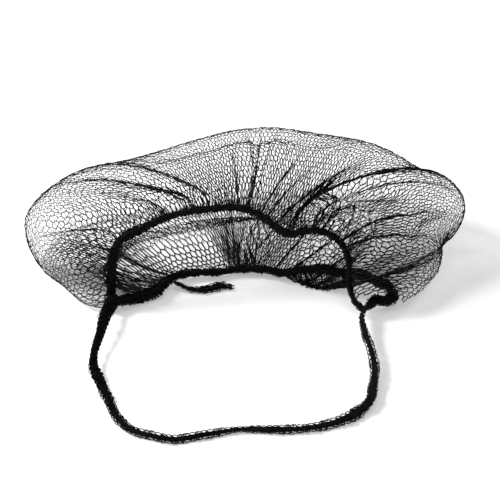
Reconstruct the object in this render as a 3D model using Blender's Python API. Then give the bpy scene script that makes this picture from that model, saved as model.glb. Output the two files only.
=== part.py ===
"""Beard cover: a net pouch gathered onto elastic edging, with an elastic head strap.

Metres. The cover lies as it is put down: +Y runs from the strap across the mouth to the
back of the pouch, +X to the right along the mouth, and +Z up from the surface.
"""
import math

import bmesh
import bpy
import numpy as np

# Sizes of the pouch
MOUTH_WIDTH = 0.1420
POUCH_WIDTH = 0.2500
POUCH_DEPTH = 0.1130
POUCH_HEIGHT = 0.0620
RIM_LIFT = 0.0490
WALL = 0.0010

# Sizes of the knitted elastic
RIM_THICKNESS = 0.0040
STRAP_WIDTH = 0.0058
STRAP_THICKNESS = 0.0026
STRAP_REACH = 0.1010
END_LENGTH = 0.0300
END_WIDTH = 0.0036
END_THICKNESS = 0.0020

# Place of the loose end's root as a share of the lower rim
END_ROOT = 0.20

# Clearances: between neighbouring pieces, and from the edging to the net's gathered edge
GAP = 0.0003
EDGE_GAP = 0.0005

# How finely the pieces are divided
NET_ROWS = 72
NET_COLUMNS = 26
RIM_STATIONS = 72
STRAP_STATIONS = 84
END_STATIONS = 14
BAND_SIDES = 8

# Upper edge of the mouth, left corner to right corner
# across is a share of MOUTH_WIDTH, back of POUCH_DEPTH, up of RIM_LIFT
UPPER_RIM = [
    (-0.500, 0.010, 0.14),
    (-0.504, 0.066, 0.27),
    (-0.499, 0.085, 0.43),
    (-0.494, 0.122, 0.59),
    (-0.478, 0.154, 0.69),
    (-0.442, 0.178, 0.78),
    (-0.390, 0.196, 0.84),
    (-0.265, 0.251, 0.94),
    (-0.115, 0.273, 1.00),
    (0.038, 0.273, 0.99),
    (0.088, 0.240, 0.96),
    (0.137, 0.202, 0.90),
    (0.205, 0.171, 0.82),
    (0.263, 0.185, 0.84),
    (0.355, 0.193, 0.79),
    (0.415, 0.165, 0.65),
    (0.442, 0.075, 0.41),
    (0.442, 0.029, 0.29),
    (0.465, -0.026, 0.18),
    (0.486, -0.050, 0.15),
]

# Lower edge of the mouth, same columns; near the right corner it turns back on itself
LOWER_RIM = [
    (-0.470, 0.014, 0.12),
    (-0.397, 0.065, 0.08),
    (-0.335, 0.103, 0.08),
    (-0.300, 0.161, 0.10),
    (-0.229, 0.233, 0.09),
    (-0.096, 0.257, 0.08),
    (0.035, 0.281, 0.08),
    (0.106, 0.271, 0.09),
    (0.185, 0.241, 0.10),
    (0.261, 0.219, 0.20),
    (0.337, 0.188, 0.27),
    (0.411, 0.147, 0.29),
    (0.502, 0.127, 0.29),
    (0.558, 0.103, 0.24),
    (0.603, 0.080, 0.18),
    (0.613, 0.035, 0.12),
    (0.582, 0.018, 0.12),
    (0.543, 0.012, 0.14),
    (0.516, -0.037, 0.15),
]

# Outermost line of the pouch seen from above, left corner to right corner
# across is a share of POUCH_WIDTH, back of POUCH_DEPTH, up of POUCH_HEIGHT
BACK_LINE = [
    (-0.306, -0.022, 0.05),
    (-0.342, 0.015, 0.05),
    (-0.404, 0.165, 0.08),
    (-0.468, 0.310, 0.18),
    (-0.496, 0.440, 0.32),
    (-0.466, 0.605, 0.34),
    (-0.414, 0.722, 0.38),
    (-0.288, 0.828, 0.41),
    (-0.120, 0.940, 0.46),
    (0.040, 1.015, 0.48),
    (0.200, 0.980, 0.46),
    (0.344, 0.882, 0.46),
    (0.448, 0.728, 0.42),
    (0.512, 0.645, 0.40),
    (0.532, 0.550, 0.35),
    (0.515, 0.465, 0.26),
    (0.486, 0.400, 0.16),
    (0.472, 0.330, 0.09),
    (0.462, 0.270, 0.06),
    (0.438, 0.185, 0.05),
    (0.404, 0.085, 0.05),
    (0.372, 0.020, 0.06),
]

# How the net is drawn together: share of the net's length against share of the rim's
UPPER_GATHER = [
    (0.00, 0.000),
    (0.12, 0.190),
    (0.24, 0.367),
    (0.50, 0.520),
    (0.74, 0.657),
    (0.87, 0.830),
    (1.00, 0.970),
]
LOWER_GATHER = [
    (0.00, 0.000),
    (0.25, 0.200),
    (0.50, 0.420),
    (0.75, 0.630),
    (0.90, 0.800),
    (1.00, 0.880),
]

# Upper panel of the net, drawn as an arch from the rim to the back line
# share along the net, length of its start as a share of the arch's reach, rise of its start
# in degrees, height of its shoulder over the back line and overhang as shares of the reach
CROWN = [
    (0.00, 0.50, 5, 0.10, 0.02),
    (0.06, 0.30, 25, 0.30, 0.02),
    (0.13, 0.30, 35, 0.34, 0.03),
    (0.20, 0.24, 35, 0.34, 0.03),
    (0.27, 0.20, 25, 0.32, 0.03),
    (0.36, 0.22, 40, 0.34, 0.03),
    (0.44, 0.28, 50, 0.44, 0.03),
    (0.52, 0.32, 57, 0.47, 0.03),
    (0.62, 0.30, 55, 0.42, 0.03),
    (0.74, 0.26, 45, 0.38, 0.03),
    (0.82, 0.28, 45, 0.36, 0.03),
    (0.88, 0.30, 45, 0.40, 0.03),
    (0.95, 0.40, 50, 0.40, 0.02),
    (1.00, 0.40, 50, 0.34, 0.02),
]

# Under panel of the net, drawn as an arch from the back line to the lower rim
# share along the net, drop of its heel under the back line and swell as shares of the
# reach, length of its start at the rim as a share of the reach, slope there in degrees
BELLY = [
    (0.00, 0.10, 0.02, 0.20, 30),
    (0.06, 0.25, 0.02, 0.20, 25),
    (0.13, 0.38, 0.03, 0.14, 25),
    (0.20, 0.45, 0.03, 0.18, 22),
    (0.30, 0.50, 0.03, 0.30, 22),
    (0.50, 0.50, 0.03, 0.36, 22),
    (0.62, 0.50, 0.03, 0.36, 45),
    (0.68, 0.50, 0.03, 0.42, 110),
    (0.76, 0.50, 0.03, 0.46, 120),
    (0.82, 0.45, 0.03, 0.32, 100),
    (0.88, 0.30, 0.03, 0.20, 60),
    (0.95, 0.15, 0.02, 0.20, 40),
    (1.00, 0.05, 0.02, 0.20, 30),
]

# Folds running from the rim outward; depth is a share of POUCH_HEIGHT, hollow when positive
# share along the net at the rim and at the far end, first and last share of the way over,
# width as a share of the net's length, depth
FOLDS = [
    (0.085, 0.125, 0.02, 0.52, 0.022, 0.075),
    (0.240, 0.225, 0.02, 0.34, 0.020, 0.055),
    (0.330, 0.310, 0.02, 0.30, 0.018, 0.045),
    (0.425, 0.430, 0.02, 0.30, 0.018, 0.045),
    (0.520, 0.520, 0.02, 0.40, 0.018, 0.060),
    (0.610, 0.620, 0.02, 0.30, 0.018, 0.045),
    (0.745, 0.760, 0.02, 0.44, 0.020, 0.070),
    (0.830, 0.815, 0.02, 0.34, 0.020, 0.050),
    (0.930, 0.830, 0.02, 0.74, 0.022, 0.130),
]

# Small gathers standing up all along the upper rim
GATHERS = 18
GATHER_HEIGHT = 0.0018
GATHER_REACH = 0.20

# Creases running along the net; first and last share of its length, share of the way over,
# width of the crease as a share of the way over, depth as a share of POUCH_HEIGHT
CREASES = [
    (0.30, 0.68, 0.285, 0.035, 0.060),
]

# Head strap laid in front of the mouth, left corner to right corner
# across is a share of MOUTH_WIDTH, ahead of STRAP_REACH, height of its underside over the
# surface of STRAP_WIDTH, and its turn about its own line in degrees, 0 lying flat
STRAP = [
    (-0.500, -0.014, 0.94, 20),
    (-0.523, -0.160, 1.09, 15),
    (-0.534, -0.266, 0.85, 45),
    (-0.549, -0.390, 0.61, 35),
    (-0.547, -0.483, 0.46, 5),
    (-0.518, -0.596, 0.28, 20),
    (-0.480, -0.721, 0.10, 25),
    (-0.448, -0.827, 0.04, 28),
    (-0.389, -0.923, 0.00, 35),
    (-0.317, -0.968, 0.01, 38),
    (-0.237, -0.993, 0.00, 40),
    (-0.117, -0.964, 0.00, 40),
    (0.011, -0.922, 0.00, 40),
    (0.124, -0.925, 0.00, 35),
    (0.249, -0.916, 0.02, 15),
    (0.360, -0.876, 0.03, 0),
    (0.443, -0.811, 0.16, 0),
    (0.492, -0.733, 0.33, 25),
    (0.509, -0.628, 0.34, 45),
    (0.521, -0.508, 0.43, 55),
    (0.513, -0.385, 0.71, 50),
    (0.490, -0.232, 0.86, 75),
    (0.484, -0.146, 0.88, 85),
    (0.494, -0.072, 0.80, 80),
]

# Loose end of the lower edging, lying in front of it
# along and ahead are shares of END_LENGTH from its root, height of its underside of the root's
END_LINE = [
    (0.00, 0.00, 1.00),
    (0.11, -0.05, 0.72),
    (0.22, -0.08, 0.36),
    (0.36, -0.10, 0.10),
    (0.49, -0.10, 0.00),
    (0.62, -0.08, 0.00),
    (0.77, -0.02, 0.00),
    (0.87, 0.01, 0.03),
    (1.00, -0.01, 0.06),
]


def through(knots, values, shares):
    """Values of the smooth curve through (knot, value) pairs."""
    slopes = np.gradient(values, knots, axis=0)
    shares = np.clip(shares, 0.0, 1.0)
    index = np.clip(np.searchsorted(knots, shares, side="right") - 1, 0, len(knots) - 2)
    span = (knots[index + 1] - knots[index])[:, None]
    part = (shares - knots[index])[:, None] / span
    start, end = values[index], values[index + 1]
    lead, trail = slopes[index] * span, slopes[index + 1] * span
    return (
        (2 * part**3 - 3 * part**2 + 1) * start
        + (part**3 - 2 * part**2 + part) * lead
        + (3 * part**2 - 2 * part**3) * end
        + (part**3 - part**2) * trail
    )


def column(table, shares):
    """Columns of a table whose first column is a share, at the given shares."""
    rows = np.array(table)
    return through(rows[:, 0], rows[:, 1:], shares)


def smooth_line(places, shares):
    """Places on the smooth line through the given ones, at shares of its length."""
    steps = np.linalg.norm(np.diff(places[:, :3], axis=0), axis=1)
    knots = np.concatenate([[0.0], np.cumsum(steps)]) / steps.sum()
    return through(knots, places, shares)


def unit(vectors):
    """The vectors at length one."""
    return vectors / np.linalg.norm(vectors, axis=-1, keepdims=True)


UP = np.array([0.0, 0.0, 1.0])
UPPER_LINE = np.array(UPPER_RIM) * [MOUTH_WIDTH, POUCH_DEPTH, RIM_LIFT]
LOWER_LINE = np.array(LOWER_RIM) * [MOUTH_WIDTH, POUCH_DEPTH, RIM_LIFT]
OUTER_LINE = np.array(BACK_LINE) * [POUCH_WIDTH, POUCH_DEPTH, POUCH_HEIGHT]


def arch(first, near, far, last, part):
    """One cubic arch for every section, part from 0 to 1."""
    part = part[None, :, None]
    rest = 1 - part
    first, near, far, last = first[:, None], near[:, None], far[:, None], last[:, None]
    return rest**3 * first + 3 * rest**2 * part * near + 3 * rest * part**2 * far + part**3 * last


def leaving(line, shares, angles, lengths):
    """Edge of the net just clear of a rim, and where it heads from there."""
    centre = smooth_line(line, shares)
    along = unit(smooth_line(line, shares + 0.03) - smooth_line(line, shares - 0.03))
    away = unit(np.cross(UP, along))
    over = np.cross(along, away)
    heading = away * np.cos(np.radians(angles)) + over * np.sin(np.radians(angles))
    return centre + heading * (RIM_THICKNESS / 2 + EDGE_GAP), centre + heading * lengths


def net_sections(shares, over):
    """The net before its folds: over runs from the upper rim (0) to the lower rim (1)."""
    upper_shares = column(UPPER_GATHER, shares)[:, 0]
    lower_shares = column(LOWER_GATHER, shares)[:, 0]
    back = smooth_line(OUTER_LINE, shares)

    start, rise, shoulder, overhang = column(CROWN, shares).T[:, :, None]
    level = (back - smooth_line(UPPER_LINE, upper_shares)) * [1, 1, 0]
    reach = np.linalg.norm(level, axis=1, keepdims=True)
    upper, crown = leaving(UPPER_LINE, upper_shares, rise, start * reach)
    brow = back + shoulder * reach * UP + overhang * level

    drop, swell, start, slope = column(BELLY, shares).T[:, :, None]
    level = (back - smooth_line(LOWER_LINE, lower_shares)) * [1, 1, 0]
    reach = np.linalg.norm(level, axis=1, keepdims=True)
    lower, belly = leaving(LOWER_LINE, lower_shares, -slope, start * reach)
    heel = back - drop * reach * UP + swell * level

    above = over <= 0.5
    top = arch(upper, crown, brow, back, over[above] * 2)
    under = arch(back, heel, belly, lower, over[~above] * 2 - 1)
    return np.concatenate([top, under], axis=1)


def outward(grid):
    """Unit normals of the net, pointing out of the pouch."""
    return unit(np.cross(np.gradient(grid, axis=0), np.gradient(grid, axis=1)))


def net_surface(shares, over):
    """Outer face of the net with its folds, resting on the surface below."""
    grid = net_sections(shares, over)
    dip = np.zeros(grid.shape[:2])
    for at_rim, at_end, first, last, width, depth in FOLDS:
        way = np.clip((over - first) / (last - first), 0.0, 1.0)
        centre = at_rim + (at_end - at_rim) * way
        offset = (shares[:, None] - centre) / width
        dip += depth * POUCH_HEIGHT * np.sin(math.pi * way) * np.exp(-(offset**2))
    for from_share, to_share, centre, width, depth in CREASES:
        way = np.clip((shares - from_share) / (to_share - from_share), 0.0, 1.0)
        offset = (over - centre) / width
        dip += depth * POUCH_HEIGHT * np.sin(math.pi * way)[:, None] * np.exp(-(offset**2))
    swing = np.cos(2 * math.pi * GATHERS * (shares + 0.012 * np.sin(15 * shares)))
    way = np.clip(over / GATHER_REACH, 0.0, 1.0)
    dip -= GATHER_HEIGHT * (0.5 + 0.5 * swing[:, None]) * np.sin(math.pi * np.sqrt(way)) ** 2
    grid = grid - outward(grid) * dip[:, :, None]
    grid[:, :, 2] = np.maximum(grid[:, :, 2], 0.0)
    return grid


def cloth(name, roughness):
    """Black knitted nylon."""
    material = bpy.data.materials.new(name)
    material.use_nodes = True
    shader = material.node_tree.nodes["Principled BSDF"]
    shader.inputs["Base Color"].default_value = (0.010, 0.010, 0.011, 1.0)
    shader.inputs["Roughness"].default_value = roughness
    return material


def add_piece(name, rings, closed_ends, roughness):
    """An object whose faces join each row or ring of points to the next."""
    shape = bmesh.new()
    rows = [[shape.verts.new(point) for point in ring] for ring in rings]
    for row, following in zip(rows, rows[1:]):
        places = range(len(row) if closed_ends else len(row) - 1)
        for place in places:
            beside = (place + 1) % len(row)
            shape.faces.new((row[place], following[place], following[beside], row[beside]))
    if closed_ends:
        shape.faces.new(rows[0])
        shape.faces.new(reversed(rows[-1]))
    mesh = bpy.data.meshes.new(name)
    shape.to_mesh(mesh)
    shape.free()
    mesh.shade_smooth()
    mesh.materials.append(cloth(name + "_nylon", roughness))
    piece = bpy.data.objects.new(name, mesh)
    bpy.context.collection.objects.link(piece)
    return piece


def resting(rows, width, thickness):
    """Centres of a flat oval band from the heights of its underside in the third column."""
    line = np.array(rows)
    turn = np.radians(line[:, 3]) if line.shape[1] > 3 else np.zeros(len(line))
    line[:, 2] += np.hypot(width / 2 * np.sin(turn), thickness / 2 * np.cos(turn))
    return line


def band_rings(line, stations, width, thickness):
    """Flat oval rings along a line; a fourth column turns the band about the line."""
    places = smooth_line(line, np.linspace(0.0, 1.0, stations))
    centres = places[:, None, :3]
    turns = np.radians(places[:, None, 3:]) if places.shape[1] > 3 else 0.0
    along = unit(np.gradient(centres, axis=0))
    side = unit(np.cross(along, UP))
    lift = np.cross(side, along)
    wide = side * np.cos(turns) + lift * np.sin(turns)
    thin = lift * np.cos(turns) - side * np.sin(turns)
    angles = (np.arange(BAND_SIDES) * 2 * math.pi / BAND_SIDES)[None, :, None]
    return centres + wide * np.cos(angles) * width / 2 + thin * np.sin(angles) * thickness / 2


for old in list(bpy.data.objects):
    bpy.data.objects.remove(old)

# Net pouch
sheet = net_surface(np.linspace(0.0, 1.0, NET_ROWS + 1), np.linspace(0.0, 1.0, NET_COLUMNS + 1))
pouch = add_piece("net_pouch", sheet, False, 0.6)
wall = pouch.modifiers.new("wall", "SOLIDIFY")
wall.thickness = WALL
wall.offset = -1.0

# Edging along both sides of the mouth
rings = band_rings(UPPER_LINE, RIM_STATIONS, RIM_THICKNESS, RIM_THICKNESS)
upper_rim = add_piece("upper_rim", rings, True, 0.75)
rings = band_rings(LOWER_LINE, RIM_STATIONS, RIM_THICKNESS, RIM_THICKNESS)
lower_rim = add_piece("lower_rim", rings, True, 0.75)

# Head strap
line = resting(
    np.array(STRAP) * [MOUTH_WIDTH, STRAP_REACH, STRAP_WIDTH, 1.0], STRAP_WIDTH, STRAP_THICKNESS
)
rings = band_rings(line, STRAP_STATIONS, STRAP_WIDTH, STRAP_THICKNESS)
head_strap = add_piece("head_strap", rings, True, 0.75)

# Loose end, leaving the lower edging at its own height
root = smooth_line(LOWER_LINE, np.array([END_ROOT]))[0]
root[1] -= (RIM_THICKNESS + END_WIDTH) / 2 + GAP
root_height = root[2] - END_THICKNESS / 2
line = np.array(END_LINE) * [END_LENGTH, END_LENGTH, root_height] + root * [1, 1, 0]
line = resting(line, END_WIDTH, END_THICKNESS)
rings = band_rings(line, END_STATIONS, END_WIDTH, END_THICKNESS)
loose_end = add_piece("loose_end", rings, True, 0.75)

# The middle of the cover's outline on the surface becomes the origin
pieces = [pouch, upper_rim, lower_rim, head_strap, loose_end]
corners = np.array([corner for piece in pieces for corner in piece.bound_box])
middle = (corners.min(axis=0) + corners.max(axis=0)) / 2
for piece in pieces:
    piece.location = (-middle[0], -middle[1], 0.0)
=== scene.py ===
# %% [markdown]
# A beard cover is a pouch of fine black net that is gathered onto elastic all round
# its mouth, and a strap of the same knitted elastic goes over the head. This lesson
# builds one as it lies on a table: the net from one hexagon, the elastic from one loop.
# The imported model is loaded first. It gives the place and size of every piece.

import math

import bpy
import numpy as np
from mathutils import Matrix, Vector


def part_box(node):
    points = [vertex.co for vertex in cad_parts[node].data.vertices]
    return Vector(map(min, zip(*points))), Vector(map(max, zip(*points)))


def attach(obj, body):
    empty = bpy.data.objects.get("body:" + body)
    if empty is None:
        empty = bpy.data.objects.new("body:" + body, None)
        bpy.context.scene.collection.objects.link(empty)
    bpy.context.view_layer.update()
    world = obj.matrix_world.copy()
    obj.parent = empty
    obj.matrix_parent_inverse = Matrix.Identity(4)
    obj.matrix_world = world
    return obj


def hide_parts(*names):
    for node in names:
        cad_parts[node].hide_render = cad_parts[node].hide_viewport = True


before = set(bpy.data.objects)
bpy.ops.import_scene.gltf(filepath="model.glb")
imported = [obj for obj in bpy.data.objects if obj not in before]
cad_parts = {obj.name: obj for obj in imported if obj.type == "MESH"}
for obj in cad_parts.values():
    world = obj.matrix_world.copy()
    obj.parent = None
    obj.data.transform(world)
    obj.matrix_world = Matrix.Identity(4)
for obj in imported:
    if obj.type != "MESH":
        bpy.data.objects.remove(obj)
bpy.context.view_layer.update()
bpy.ops.object.select_all(action="DESELECT")
print("frame pieces:", sorted(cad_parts))

# %% [markdown]
# Photographs of such a cover are taken from in front and above, a little under a metre
# away. The camera is turned down by 40 degrees and has a long lens, so that the pouch
# is hardly drawn out towards its ends.

# %% Camera
VIEW_DOWN = math.radians(40.0)
VIEW_DISTANCE = 0.900
LENS = 115.3
AIM = (0.0026, 0.0117, 0.0300)

camera_data = bpy.data.cameras.new("camera")
camera_data.lens = LENS
camera_data.sensor_width = 36.0
camera = bpy.data.objects.new("camera", camera_data)
bpy.context.collection.objects.link(camera)
camera.location = (
    AIM[0],
    AIM[1] - VIEW_DISTANCE * math.cos(VIEW_DOWN),
    AIM[2] + VIEW_DISTANCE * math.sin(VIEW_DOWN),
)
camera.rotation_euler = (math.pi / 2 - VIEW_DOWN, 0.0, 0.0)
bpy.context.scene.camera = camera
print("camera at", [round(c, 3) for c in camera.location])

# %% [markdown]
# Colours are easiest to note as the hex values that a paint program shows. Blender
# works in linear light, so one function turns them. Another adds a node, sets it up
# and links it. A third gives a material two tones, as hardly anything is of one colour.

# %% Colour and node helpers
def linear(hex_colour):
    """An sRGB hex colour as linear RGBA."""
    parts = [int(hex_colour[i : i + 2], 16) / 255 for i in (1, 3, 5)]
    parts = [p / 12.92 if p <= 0.04045 else ((p + 0.055) / 1.055) ** 2.4 for p in parts]
    return (*parts, 1.0)


def add_node(tree, kind, settings=(), inputs=(), links=()):
    """A node with its settings, its input values and its links (input, node, output)."""
    node = tree.nodes.new(kind)
    for name, value in dict(settings).items():
        setattr(node, name, value)
    for name, value in dict(inputs).items():
        node.inputs[name].default_value = value
    for name, source, output in links:
        tree.links.new(source.outputs[output], node.inputs[name])
    return node


def two_toned(tree, noise_inputs, hex_dark, hex_light):
    """Lets a fine noise turn the base colour from one tone to the other; gives the noise."""
    place = add_node(tree, "ShaderNodeTexCoord")
    noise = add_node(
        tree, "ShaderNodeTexNoise", inputs=noise_inputs, links=[("Vector", place, "Object")]
    )
    tint = add_node(
        tree, "ShaderNodeMix", {"data_type": "RGBA"}, links=[("Factor", noise, "Fac")]
    )
    tint.inputs[6].default_value = linear(hex_dark)
    tint.inputs[7].default_value = linear(hex_light)
    tree.links.new(tint.outputs[2], tree.nodes["Principled BSDF"].inputs["Base Color"])
    return noise

# %% [markdown]
# The table is a wide sheet of matt white paper. Its material glows faintly as painted light,
# which lifts the shade under the net so that the paper shows white through the holes of the
# dark net. It is part of the stage and not of the cover. A fine noise gives the paper its
# fibre.

# %% White paper table
TABLE_SIZE = 6.0
# strength of the paper's painted glow, which lightens the net's shade on the table
TABLE_PAINTED_GLOW = 0.38
# a fleck of fibre about every 1.1 mm
PAPER_FLECKS_PER_METRE = 900.0


def paper_with_painted_glow():
    """White matt paper: even, chalky, with a trace of fibre and a faint painted glow that lifts
    the shade on it.
    """
    material = bpy.data.materials.new("matt_white_paper_with_painted_glow")
    material.use_nodes = True
    tree = material.node_tree
    shader = tree.nodes["Principled BSDF"]
    shader.inputs["Roughness"].default_value = 0.9
    two_toned(tree, {"Scale": PAPER_FLECKS_PER_METRE, "Detail": 2.0}, "#f6f6f7", "#fbfbfb")
    # painted glow: the paper gives off light of its own, which fills in the shade under the net
    shader.inputs["Emission Color"].default_value = linear("#ffffff")
    shader.inputs["Emission Strength"].default_value = TABLE_PAINTED_GLOW
    return material


bpy.ops.mesh.primitive_plane_add(size=TABLE_SIZE, location=(0.0, 0.0, 0.0))
table = bpy.context.object
table.name = "table"
table.data.materials.append(paper_with_painted_glow())
bpy.ops.object.select_all(action="DESELECT")
print("table:", TABLE_SIZE, "m wide, glows at", TABLE_PAINTED_GLOW)

# %% [markdown]
# The light is a studio's: one soft box high on the left, which throws the soft shadows
# to the right, a wide one overhead and the pale room all round. The table is lit until
# it is white, as in a product photograph.

# %% Light
KEY_PLACE = (-0.95, 0.35, 0.85)
KEY_SIZE = 0.35
KEY_POWER = 17.0
TOP_PLACE = (0.1, 0.1, 1.4)
TOP_SIZE = 1.2
TOP_POWER = 4.5
ROOM_LIGHT = 0.15


def soft_box(name, place, size, power):
    """A square area light at a place, turned to the middle of the table."""
    data = bpy.data.lights.new(name, "AREA")
    data.size = size
    data.energy = power
    lamp = bpy.data.objects.new(name, data)
    bpy.context.collection.objects.link(lamp)
    lamp.location = place
    heading = -np.array(place) / np.linalg.norm(place)
    turn = math.atan2(-heading[0], heading[1])
    lamp.rotation_euler = (math.acos(-heading[2]), 0.0, turn)
    print(name, "at", place, "with", power, "W")


soft_box("key_box", KEY_PLACE, KEY_SIZE, KEY_POWER)
soft_box("top_box", TOP_PLACE, TOP_SIZE, TOP_POWER)
room = bpy.data.worlds.new("room")
room.use_nodes = True
background = room.node_tree.nodes["Background"]
background.inputs["Color"].default_value = linear("#f4f6f8")
background.inputs["Strength"].default_value = ROOM_LIGHT
bpy.context.scene.world = room
bpy.context.scene.view_settings.view_transform = "Standard"

# %% [markdown]
# The net has to lie just where the frame has it, so the same named sizes and tables
# make its surface here. Lengths are in metres, and the tables hold shares of them.

# %% Sizes of the pouch and its elastic
# Sizes of the pouch
MOUTH_WIDTH = 0.1420
POUCH_WIDTH = 0.2500
POUCH_DEPTH = 0.1130
POUCH_HEIGHT = 0.0620
RIM_LIFT = 0.0490

# Sizes of the knitted elastic
RIM_THICKNESS = 0.0040
STRAP_WIDTH = 0.0058
STRAP_THICKNESS = 0.0026
STRAP_REACH = 0.1010
END_LENGTH = 0.0300
END_WIDTH = 0.0036
END_THICKNESS = 0.0020

# Place of the loose end's root as a share of the lower rim, and clearances
END_ROOT = 0.20
GAP = 0.0003
EDGE_GAP = 0.0005
print("pouch in mm:", [round(size * 1000) for size in (POUCH_WIDTH, POUCH_DEPTH, POUCH_HEIGHT)])

# %% [markdown]
# Three lines carry the net as poles carry a tent. Two of them are the edges of the mouth,
# where the elastic is. Each line is a short table of places.

# %% Edges of the mouth
# Upper edge of the mouth, left corner to right corner
# across is a share of MOUTH_WIDTH, back of POUCH_DEPTH, up of RIM_LIFT
UPPER_RIM = [
    (-0.500, 0.010, 0.14),
    (-0.504, 0.066, 0.27),
    (-0.499, 0.085, 0.43),
    (-0.494, 0.122, 0.59),
    (-0.478, 0.154, 0.69),
    (-0.442, 0.178, 0.78),
    (-0.390, 0.196, 0.84),
    (-0.265, 0.251, 0.94),
    (-0.115, 0.273, 1.00),
    (0.038, 0.273, 0.99),
    (0.088, 0.240, 0.96),
    (0.137, 0.202, 0.90),
    (0.205, 0.171, 0.82),
    (0.263, 0.185, 0.84),
    (0.355, 0.193, 0.79),
    (0.415, 0.165, 0.65),
    (0.442, 0.075, 0.41),
    (0.442, 0.029, 0.29),
    (0.465, -0.026, 0.18),
    (0.486, -0.050, 0.15),
]

# Lower edge of the mouth, same columns; near the right corner it turns back on itself
LOWER_RIM = [
    (-0.470, 0.014, 0.12),
    (-0.397, 0.065, 0.08),
    (-0.335, 0.103, 0.08),
    (-0.300, 0.161, 0.10),
    (-0.229, 0.233, 0.09),
    (-0.096, 0.257, 0.08),
    (0.035, 0.281, 0.08),
    (0.106, 0.271, 0.09),
    (0.185, 0.241, 0.10),
    (0.261, 0.219, 0.20),
    (0.337, 0.188, 0.27),
    (0.411, 0.147, 0.29),
    (0.502, 0.127, 0.29),
    (0.558, 0.103, 0.24),
    (0.603, 0.080, 0.18),
    (0.613, 0.035, 0.12),
    (0.582, 0.018, 0.12),
    (0.543, 0.012, 0.14),
    (0.516, -0.037, 0.15),
]

print("places on the edges of the mouth:", len(UPPER_RIM), "and", len(LOWER_RIM))

# %% [markdown]
# The third line runs round the pouch from corner to corner, where it is widest. No seam
# shows there: the line is only where the net turns under.

# %% Back line of the pouch
# Outermost line of the pouch seen from above, left corner to right corner
# across is a share of POUCH_WIDTH, back of POUCH_DEPTH, up of POUCH_HEIGHT
BACK_LINE = [
    (-0.306, -0.022, 0.05),
    (-0.342, 0.015, 0.05),
    (-0.404, 0.165, 0.08),
    (-0.468, 0.310, 0.18),
    (-0.496, 0.440, 0.32),
    (-0.466, 0.605, 0.34),
    (-0.414, 0.722, 0.38),
    (-0.288, 0.828, 0.41),
    (-0.120, 0.940, 0.46),
    (0.040, 1.015, 0.48),
    (0.200, 0.980, 0.46),
    (0.344, 0.882, 0.46),
    (0.448, 0.728, 0.42),
    (0.512, 0.645, 0.40),
    (0.532, 0.550, 0.35),
    (0.515, 0.465, 0.26),
    (0.486, 0.400, 0.16),
    (0.472, 0.330, 0.09),
    (0.462, 0.270, 0.06),
    (0.438, 0.185, 0.05),
    (0.404, 0.085, 0.05),
    (0.372, 0.020, 0.06),
]
print("places on the back line:", len(BACK_LINE))

# %% [markdown]
# The net is a long strip that is drawn together along both edges of the mouth. The next
# tables say how the strip's length is shared out, and how its arches rise and fall.

# %% How the net is gathered and arched
# How the net is drawn together: share of the net's length against share of the rim's
UPPER_GATHER = [
    (0.00, 0.000), (0.12, 0.190), (0.24, 0.367), (0.50, 0.520), (0.74, 0.657),
    (0.87, 0.830), (1.00, 0.970),
]
LOWER_GATHER = [
    (0.00, 0.000), (0.25, 0.200), (0.50, 0.420), (0.75, 0.630), (0.90, 0.800),
    (1.00, 0.880),
]

# Upper panel of the net, drawn as an arch from the rim to the back line
# share along the net, length of its start as a share of the arch's reach, rise of its start
# in degrees, height of its shoulder over the back line and overhang as shares of the reach
CROWN = [
    (0.00, 0.50, 5, 0.10, 0.02),
    (0.06, 0.30, 25, 0.30, 0.02),
    (0.13, 0.30, 35, 0.34, 0.03),
    (0.20, 0.24, 35, 0.34, 0.03),
    (0.27, 0.20, 25, 0.32, 0.03),
    (0.36, 0.22, 40, 0.34, 0.03),
    (0.44, 0.28, 50, 0.44, 0.03),
    (0.52, 0.32, 57, 0.47, 0.03),
    (0.62, 0.30, 55, 0.42, 0.03),
    (0.74, 0.26, 45, 0.38, 0.03),
    (0.82, 0.28, 45, 0.36, 0.03),
    (0.88, 0.30, 45, 0.40, 0.03),
    (0.95, 0.40, 50, 0.40, 0.02),
    (1.00, 0.40, 50, 0.34, 0.02),
]

# Under panel of the net, drawn as an arch from the back line to the lower rim
# share along the net, drop of its heel under the back line and swell as shares of the
# reach, length of its start at the rim as a share of the reach, slope there in degrees
BELLY = [
    (0.00, 0.10, 0.02, 0.20, 30),
    (0.06, 0.25, 0.02, 0.20, 25),
    (0.13, 0.38, 0.03, 0.14, 25),
    (0.20, 0.45, 0.03, 0.18, 22),
    (0.30, 0.50, 0.03, 0.30, 22),
    (0.50, 0.50, 0.03, 0.36, 22),
    (0.62, 0.50, 0.03, 0.36, 45),
    (0.68, 0.50, 0.03, 0.42, 110),
    (0.76, 0.50, 0.03, 0.46, 120),
    (0.82, 0.45, 0.03, 0.32, 100),
    (0.88, 0.30, 0.03, 0.20, 60),
    (0.95, 0.15, 0.02, 0.20, 40),
    (1.00, 0.05, 0.02, 0.20, 30),
]
print("arches are given at", len(CROWN), "places above and", len(BELLY), "places below")

# %% [markdown]
# Cloth that is drawn together folds. The larger folds run from the mouth outward, small
# gathers stand all along the upper edging, and one crease runs along the crown. They are
# pressed into the arches later on, each as a soft groove.

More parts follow.
